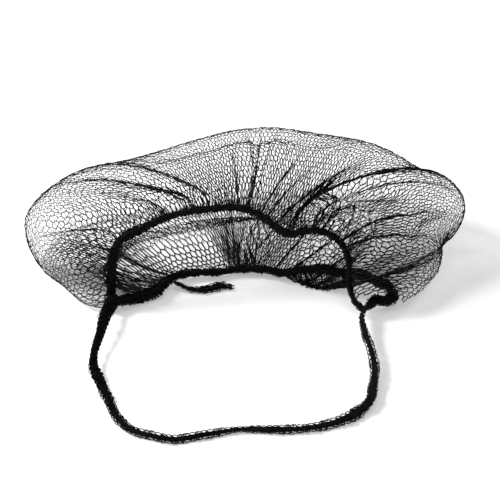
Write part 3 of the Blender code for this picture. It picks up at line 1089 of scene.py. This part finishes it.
# %% How the strap and the loose end lie
# Head strap laid in front of the mouth, left corner to right corner
# across is a share of MOUTH_WIDTH, ahead of STRAP_REACH, height of its underside over the
# surface of STRAP_WIDTH, and its turn about its own line in degrees, 0 lying flat
STRAP = [
    (-0.500, -0.014, 0.94, 40),
    (-0.523, -0.160, 1.09, 50),
    (-0.534, -0.266, 0.85, 40),
    (-0.549, -0.390, 0.61, 50),
    (-0.547, -0.483, 0.46, 40),
    (-0.518, -0.596, 0.28, 30),
    (-0.480, -0.721, 0.10, 25),
    (-0.448, -0.827, 0.04, 20),
    (-0.389, -0.923, 0.00, 0),
    (-0.317, -0.968, 0.01, -25),
    (-0.237, -0.993, 0.00, -15),
    (-0.117, -0.964, 0.00, -30),
    (0.011, -0.922, 0.00, 0),
    (0.124, -0.925, 0.00, -15),
    (0.249, -0.916, 0.02, -5),
    (0.360, -0.876, 0.03, -10),
    (0.443, -0.811, 0.16, -5),
    (0.492, -0.733, 0.33, 10),
    (0.509, -0.628, 0.34, 20),
    (0.521, -0.508, 0.43, 25),
    (0.513, -0.385, 0.71, 20),
    (0.490, -0.232, 0.86, 40),
    (0.484, -0.146, 0.88, 65),
    (0.494, -0.072, 0.80, 70),
]

# Loose end of the lower edging, lying in front of it
# along and ahead are shares of END_LENGTH from its root, height of its underside of the root's
END_LINE = [
    (0.00, 0.00, 1.00),
    (0.11, -0.05, 0.72),
    (0.22, -0.08, 0.36),
    (0.36, -0.10, 0.10),
    (0.49, -0.10, 0.00),
    (0.62, -0.08, 0.00),
    (0.77, -0.02, 0.00),
    (0.87, 0.01, 0.03),
    (1.00, -0.01, 0.06),
]
print("places on the strap's line:", len(STRAP), "and on the loose end's:", len(END_LINE))

# %% [markdown]
# Knitted elastic is not even. The net's gathers swell the edging from inside, and a strap
# that was stretched for long is bunched in some places and thin in others. These tables
# say how wide each piece is along its own length.

# %% How wide the elastic is
# share of the length, how much wider than its plain width and thickness
STRAP_SWELL = [
    (0.00, 1.50), (0.03, 1.40), (0.06, 1.30), (0.09, 0.95), (0.12, 0.90), (0.15, 1.05),
    (0.19, 1.50), (0.21, 1.30), (0.26, 1.15), (0.30, 1.10), (0.36, 0.90), (0.42, 0.95),
    (0.48, 0.85), (0.54, 0.75), (0.60, 1.00), (0.68, 1.10), (0.73, 1.35), (0.78, 1.00),
    (0.85, 1.05), (0.90, 0.90), (0.96, 0.85), (1.00, 1.10),
]
# share of the strap's length, how much wider than its chains its core is: from about 2
# the tape is bunched there and its holes are closed
STRAP_CORE = [
    (0.00, 2.2), (0.20, 2.3), (0.24, 2.0), (0.33, 1.8), (0.37, 1.1), (0.50, 1.2),
    (0.54, 2.0), (0.59, 1.9), (0.62, 1.1), (0.69, 1.2), (0.73, 1.8), (0.77, 2.2),
    (0.81, 2.2), (0.85, 1.6), (0.91, 1.3), (0.94, 2.0), (1.00, 2.2),
]
# the same as for the strap, for both edgings and for the loose end
UPPER_SWELL = [
    (0.00, 1.30), (0.08, 1.35), (0.18, 1.15), (0.30, 0.88), (0.45, 0.84), (0.60, 0.92),
    (0.72, 0.86), (0.80, 0.74), (0.92, 0.80), (1.00, 0.75),
]
LOWER_SWELL = [
    (0.00, 0.90), (0.04, 1.40), (0.09, 1.65), (0.18, 1.25), (0.26, 0.90), (0.40, 0.88),
    (0.55, 0.95), (0.66, 1.10), (0.80, 1.20), (0.90, 1.45), (0.96, 1.20), (1.00, 0.70),
]
END_SWELL = [
    (0.00, 0.50), (0.20, 0.60), (0.40, 0.80), (0.60, 1.00), (0.80, 1.25), (0.92, 1.15),
    (1.00, 0.75),
]
widest = np.array(STRAP_SWELL)[:, 1].max() * STRAP_WIDTH
print("the strap is up to", round(widest * 1000, 1), "mm wide")

# %% [markdown]
# A tape is easiest to make straight and flat, and then to lay along its line. At each
# place the line has three directions: along, across and out of the tape's face.

# %% Lay a straight piece along a line
# places along a line at which its three directions are worked out
STATIONS = 900


def resting(rows, width, thickness):
    """Centres of a flat oval band from the heights of its underside in the third column."""
    line = np.array(rows)
    turn = np.radians(line[:, 3]) if line.shape[1] > 3 else np.zeros(len(line))
    line[:, 2] += np.hypot(width / 2 * np.sin(turn), thickness / 2 * np.cos(turn))
    return line


def lay_along(piece, line, length, swell):
    """Moves a straight piece, which runs from 0 to length along X, onto a line."""
    shares = np.linspace(0.0, 1.0, STATIONS)
    places = smooth_line(line, shares)
    centres = places[:, :3]
    turns = np.radians(places[:, 3:]) if places.shape[1] > 3 else 0.0
    ahead = unit(np.gradient(centres, axis=0))
    side = unit(np.cross(ahead, UP))
    lift = np.cross(side, ahead)
    wide = side * np.cos(turns) + lift * np.sin(turns)
    thin = lift * np.cos(turns) - side * np.sin(turns)
    straight = points_of(piece)
    share = np.clip(straight[:, 0] / length, 0.0, 1.0)
    past = (straight[:, 0] - share * length)[:, None]
    straight[:, 1:] *= between(swell, share)[:, None]
    ways = [
        np.stack([np.interp(share, shares, field[:, axis]) for axis in range(3)], axis=1)
        for field in (centres, ahead, wide, thin)
    ]
    centre, ahead, wide, thin = ways
    laid = centre + ahead * past + wide * straight[:, 1:2] + thin * straight[:, 2:3] + MIDDLE
    laid[:, 2] = np.maximum(laid[:, 2], 0.0)
    move_points(piece, laid)

# %% [markdown]
# Both edges of the mouth run on into the ends of the strap, where all is sewn together.
# The loose end comes out of the lower edging and drops to the table in front of it. Each
# tape is made as long as its own line is.

# %% Lines of the elastic and their lengths
def line_length(line):
    """Length of the smooth line through the places."""
    places = smooth_line(line, np.linspace(0.0, 1.0, STATIONS))[:, :3]
    return np.linalg.norm(np.diff(places, axis=0), axis=1).sum()


strap_line = resting(
    np.array(STRAP) * [MOUTH_WIDTH, STRAP_REACH, STRAP_WIDTH, 1.0], STRAP_WIDTH, STRAP_THICKNESS
)
STRAP_LENGTH = line_length(strap_line)
corners = strap_line[[0, -1], :3]
sewn_upper = np.concatenate([corners[:1], UPPER_LINE, corners[1:]])
sewn_lower = np.concatenate([corners[:1], LOWER_LINE, corners[1:]])
UPPER_LENGTH = line_length(sewn_upper)
LOWER_LENGTH = line_length(sewn_lower)
root = smooth_line(LOWER_LINE, np.array([END_ROOT]))[0]
root[1] -= (RIM_THICKNESS + END_WIDTH) / 2 + GAP
root_height = root[2] - END_THICKNESS / 2
end_line = np.array(END_LINE) * [END_LENGTH, END_LENGTH, root_height] + root * [1, 1, 0]
end_line = resting(end_line, END_WIDTH, END_THICKNESS)
END_REAL_LENGTH = line_length(end_line)
print("elastic in mm: upper", round(UPPER_LENGTH * 1000), "lower", round(LOWER_LENGTH * 1000),
      "strap", round(STRAP_LENGTH * 1000), "loose end", round(END_REAL_LENGTH * 1000))

# %% [markdown]
# One chained loop is a ring pulled long and tipped, so that each lies over the next like
# a scale. It is made once from a torus with few faces, since there will be thousands.
# Real loops are about 1 mm long. They are drawn half as long again, as finer ones
# would not show.

# %% One chained loop
STITCH = 0.00155
THREAD = 0.00050
LOOP_RADIUS = STITCH * 0.62
# how much a loop is pulled along the chain
LOOP_PULL = 1.15


def join(pieces, name):
    """One mesh out of several."""
    bpy.ops.object.select_all(action="DESELECT")
    for piece in pieces:
        piece.select_set(True)
    bpy.context.view_layer.objects.active = pieces[0]
    bpy.ops.object.join()
    pieces[0].name = name
    return pieces[0]


def chained_loop(place, width, tip, turn=0.0):
    """One loop of a chain, tipped about Y and then turned about the tape's own line."""
    bpy.ops.object.select_all(action="DESELECT")
    bpy.ops.mesh.primitive_torus_add(
        major_segments=8,
        minor_segments=4,
        major_radius=LOOP_RADIUS,
        minor_radius=THREAD / 2,
        location=(0.0, 0.0, 0.0),
    )
    loop = bpy.context.object
    bpy.ops.object.mode_set(mode="EDIT")
    bpy.ops.mesh.select_all(action="SELECT")
    narrow = width / (2 * LOOP_RADIUS + THREAD)
    bpy.ops.transform.resize(value=(LOOP_PULL, narrow, 1.0))
    for angle, axis in ((tip, "Y"), (turn, "X")):
        bpy.ops.transform.rotate(
            value=math.radians(angle), orient_axis=axis, center_override=(0.0, 0.0, 0.0)
        )
    bpy.ops.transform.translate(value=place)
    bpy.ops.object.mode_set(mode="OBJECT")
    return loop

# %% [markdown]
# The threads beside the chain run out to the edge and back in arcs. Two of them, half an
# arc apart, cross over each other, and what they leave between them are the holes.

# %% Thread arcs of the edge
ARC = 2 * STITCH
EDGE_THREAD = 0.00062
ARC_POINTS = 7
# how far an arc leans over, as a share of its length, and how square its outer end is
ARC_LEAN = 0.08
ARC_SQUARE = 0.7


def thread(points, diameter):
    """A thread through the points, as a closed tube of few faces."""
    data = bpy.data.curves.new("thread", "CURVE")
    data.dimensions = "3D"
    data.bevel_depth = diameter / 2
    data.bevel_resolution = 0
    data.use_fill_caps = True
    spline = data.splines.new("POLY")
    spline.points.add(len(points) - 1)
    for point, place in zip(spline.points, points):
        point.co = (*place, 1.0)
    piece = bpy.data.objects.new("thread", data)
    bpy.context.collection.objects.link(piece)
    bpy.ops.object.select_all(action="DESELECT")
    piece.select_set(True)
    bpy.context.view_layer.objects.active = piece
    bpy.ops.object.convert(target="MESH")
    return bpy.context.object


def edge_arc(start, inner, outer, side, rise):
    """One arc of thread from the chain to the edge of the tape and back."""
    turn = np.linspace(0.0, math.pi, ARC_POINTS)
    x = start + ARC * (0.5 - 0.5 * np.cos(turn) - ARC_LEAN * np.sin(2 * turn))
    y = side * (inner + (outer - inner) * np.sin(turn) ** ARC_SQUARE)
    z = rise * np.sin(2 * turn)
    return thread(np.stack([x, y, z], axis=1).tolist(), EDGE_THREAD)

# %% [markdown]
# Rubber threads lie packed in the middle of the elastic. They are drawn as one core, cut
# across again and again so that it can bend with the tape.

# %% Core of rubber threads
CORE_STEP = 0.0015


def rubber_core(length, width, thickness):
    """A flat oval rod along X that can bend."""
    bpy.ops.mesh.primitive_cylinder_add(
        vertices=10, radius=0.5, depth=length, location=(length / 2, 0.0, 0.0),
        rotation=(0.0, math.pi / 2, 0.0),
    )
    core = bpy.context.object
    bpy.ops.object.transform_apply(location=True, rotation=True, scale=True)
    cuts = int(round(length / CORE_STEP))
    bpy.ops.object.mode_set(mode="EDIT")
    bpy.ops.mesh.select_all(action="SELECT")
    bpy.ops.transform.resize(value=(1.0, width, thickness), center_override=(0.0, 0.0, 0.0))
    for cut in range(1, cuts):
        bpy.ops.mesh.select_all(action="SELECT")
        bpy.ops.mesh.bisect(
            plane_co=(length * cut / cuts, 0.0, 0.0), plane_no=(1.0, 0.0, 0.0)
        )
    bpy.ops.object.mode_set(mode="OBJECT")
    return core

# %% [markdown]
# Knitting repeats itself, so a repeat of six arcs is made once and copied up to the whole
# length. Worn elastic is never tidy, so loose loops of different sizes stand out of the
# repeat at random. The draws start from a fixed number and always come out the same.

# %% Repeats and loose loops
UNIT_ARCS = 6
LOOSE_SIZE = 0.0016
# the smallest loose loop as a share of the largest
LOOSE_LEAST = 0.6

chance = np.random.default_rng(7)


def loose_size(draw):
    """Width of a loose loop for a draw from 0 to 1."""
    return LOOSE_SIZE * (LOOSE_LEAST + (1 - LOOSE_LEAST) * draw)


def lengthened(pieces, name, length, core):
    """Copies of the joined pieces up to the length, with the core in them."""
    straight = join(pieces, name)
    count = int(round(length / (ARC * UNIT_ARCS)))
    repeat(straight, count, (length / count, 0.0, 0.0), joined=False)
    straight = join([straight, core], name)
    straight.data.shade_smooth()
    return straight


print("one repeat is", round(ARC * UNIT_ARCS * 1000, 1), "mm long")

# %% [markdown]
# Over the length of one arc the tape has two loops of each middle chain on both faces
# and two arcs on each side. Where the tape is bunched, a wider core closes its holes.
# Angles are in degrees.

# %% A straight tape of knitted elastic
CHAIN_STEP = 0.00095
LOOP_WIDTH = 0.0012
CHAIN_LIFT = 0.00035
CHAIN_TIP = 14
# where the arcs start and how far the inner ones reach, as shares of the chains' width
ARC_ROOT = 0.45
INNER_ARC = 0.60
ARC_RISE = 0.0003
LOOSE_ON_TAPE = 30
LOOSE_LIFT = 0.0006
LOOSE_LEAN = 35
# width of the core as a share of the chains'
CORE_SHARE = 0.95
CORE_THICKNESS = 0.0010


def tape(name, length, width, chains, core_swell=((0.0, 1.0), (1.0, 1.0))):
    """Straight knitted tape along X, as wide as asked, with its chains in the middle."""
    middle = (chains - 1) * CHAIN_STEP + LOOP_WIDTH
    pieces = []
    for chain in range(chains):
        y = (chain - (chains - 1) / 2) * CHAIN_STEP
        for face in (1, -1):
            tip = face * (CHAIN_TIP if chain % 2 else -CHAIN_TIP)
            pieces.append(chained_loop((STITCH / 2, y, face * CHAIN_LIFT), LOOP_WIDTH, tip))
    for piece in pieces:
        repeat(piece, 2, (STITCH, 0.0, 0.0), joined=False)
    outer = (width - EDGE_THREAD) / 2
    for side in (-1, 1):
        pieces.append(edge_arc(0.0, middle * ARC_ROOT, outer, side, ARC_RISE))
        inner = middle * INNER_ARC
        pieces.append(edge_arc(ARC / 2, middle * ARC_ROOT, inner, side, -ARC_RISE))
    for piece in pieces:
        repeat(piece, UNIT_ARCS, (ARC, 0.0, 0.0), joined=False)
    for _ in range(LOOSE_ON_TAPE):
        x, y, turn, lean, up = chance.uniform(-1.0, 1.0, 5)
        place = (ARC * UNIT_ARCS * (x + 1) / 2, y * outer, LOOSE_LIFT * np.sign(up))
        size = loose_size((turn + 1) / 2)
        pieces.append(chained_loop(place, size, LOOSE_LEAN * lean, LOOSE_LEAN * turn))
    core = rubber_core(length, middle * CORE_SHARE, CORE_THICKNESS)
    places = points_of(core)
    places[:, 1] *= between(core_swell, places[:, 0] / length)
    move_points(core, places)
    return lengthened(pieces, name, length, core)

# %% [markdown]
# The elastic is black polyester and rubber. It is duller than the net, because its
# threads are spun and textured, and it swallows light between the loops.

# %% Head strap
elastic_yarn = black_yarn("knitted_elastic_yarn", "#030304", "#08080a", 0.8, 0.5)


def finish_elastic(piece, node):
    """Gives a laid piece of elastic its material and its place in the frame."""
    piece.data.materials.clear()
    piece.data.materials.append(elastic_yarn)
    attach(piece, "root")
    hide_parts(node)
    piece.data.calc_loop_triangles()
    print(piece.name, len(piece.data.loop_triangles), "triangles")


strap = tape("head_strap_tape", STRAP_LENGTH, STRAP_WIDTH, chains=2, core_swell=STRAP_CORE)
lay_along(strap, strap_line, STRAP_LENGTH, STRAP_SWELL)
finish_elastic(strap, "head_strap")

# %% [markdown]
# Round the mouth the tape is folded over the net's edge and sewn, so it looks like a
# cord: a core with chains all round it. Ends of loops stand off from it on every side,
# as nothing pulls them flat, and make its outline rough.

# %% Elastic edging of the mouth
RIM_CHAINS = 7
RIM_LOOP_WIDTH = 0.0017
# how far out the chains and the core's surface lie, as shares of the edging's radius
CHAINS_OUT = 0.8
CORE_OUT = 0.8
LOOSE_LOOPS = 56
# nearest and farthest that a loose loop lies, in the same shares
LOOSE_NEAR = 0.88
LOOSE_FAR = 1.20
LOOSE_TIP = 90
# a lump every few millimetres, and how much fuller or thinner than its place it is
LUMP_STEP = 0.0035
LUMP_RISE = 0.16


def edging(name, length):
    """Straight edging along X: chains of loops round a solid core, rough all over."""
    radius = RIM_THICKNESS / 2
    pieces = []
    for chain in range(RIM_CHAINS):
        angle = 2 * math.pi * (chain + 0.5) / RIM_CHAINS
        out = radius * CHAINS_OUT
        place = (STITCH / 2, out * math.sin(angle), out * math.cos(angle))
        tip = CHAIN_TIP if chain % 2 else -CHAIN_TIP
        pieces.append(chained_loop(place, RIM_LOOP_WIDTH, tip, -math.degrees(angle)))
    for piece in pieces:
        repeat(piece, 2 * UNIT_ARCS, (STITCH, 0.0, 0.0), joined=False)
    for _ in range(LOOSE_LOOPS):
        x, angle, reach, lean = chance.uniform(0.0, 1.0, 4)
        angle *= 2 * math.pi
        out = radius * (LOOSE_NEAR + (LOOSE_FAR - LOOSE_NEAR) * reach)
        place = (ARC * UNIT_ARCS * x, out * math.sin(angle), out * math.cos(angle))
        tip = LOOSE_TIP * lean
        pieces.append(chained_loop(place, loose_size(reach), tip, -math.degrees(angle)))
    core = rubber_core(length, 2 * radius * CORE_OUT, 2 * radius * CORE_OUT)
    return lengthened(pieces, name, length, core)


def lumpy(swell, length):
    """The swell with a lump where every few millimetres of gathers lie under the seam."""
    lumps = int(round(length / LUMP_STEP))
    shares = np.linspace(0.0, 1.0, lumps)
    rise = 1.0 + LUMP_RISE * chance.uniform(-1.0, 1.0, lumps)
    return np.stack([shares, between(swell, shares) * rise], axis=1)


for name, node, line, length, swell in (
    ("upper_edging", "upper_rim", sewn_upper, UPPER_LENGTH, UPPER_SWELL),
    ("lower_edging", "lower_rim", sewn_lower, LOWER_LENGTH, LOWER_SWELL),
):
    band = edging(name, length)
    lay_along(band, line, length, lumpy(swell, length))
    finish_elastic(band, node)

# %% [markdown]
# A cut end of the elastic lies free in front of the lower edge. It is the same tape,
# narrow at its root and spread towards the cut, where nothing pulls it tight. A loop of
# its thread lies at the root, and one thread sticks out of the cut.

# %% Loose end
# millimetres ahead of the tape's end and to its side
TIP_THREAD = [(-1.0, 0.6), (0.6, 0.2), (1.8, -0.8), (2.8, -2.0)]
# width of the cut tape where it spreads, before the table of its widths
SPREAD_WIDTH = 0.0070
RING_PLACE = (-0.0010, -0.0012, 0.0)
RING_WIDTH = 0.0040

loose = tape("loose_end_tape", END_REAL_LENGTH, SPREAD_WIDTH, chains=3)
ring = chained_loop(RING_PLACE, RING_WIDTH, 0)
tip = [(END_REAL_LENGTH + 0.001 * x, 0.001 * y, 0.0) for x, y in TIP_THREAD]
loose = join([loose, ring, thread(tip, THREAD)], "loose_end_tape")
lay_along(loose, end_line, END_REAL_LENGTH, END_SWELL)
finish_elastic(loose, "loose_end")
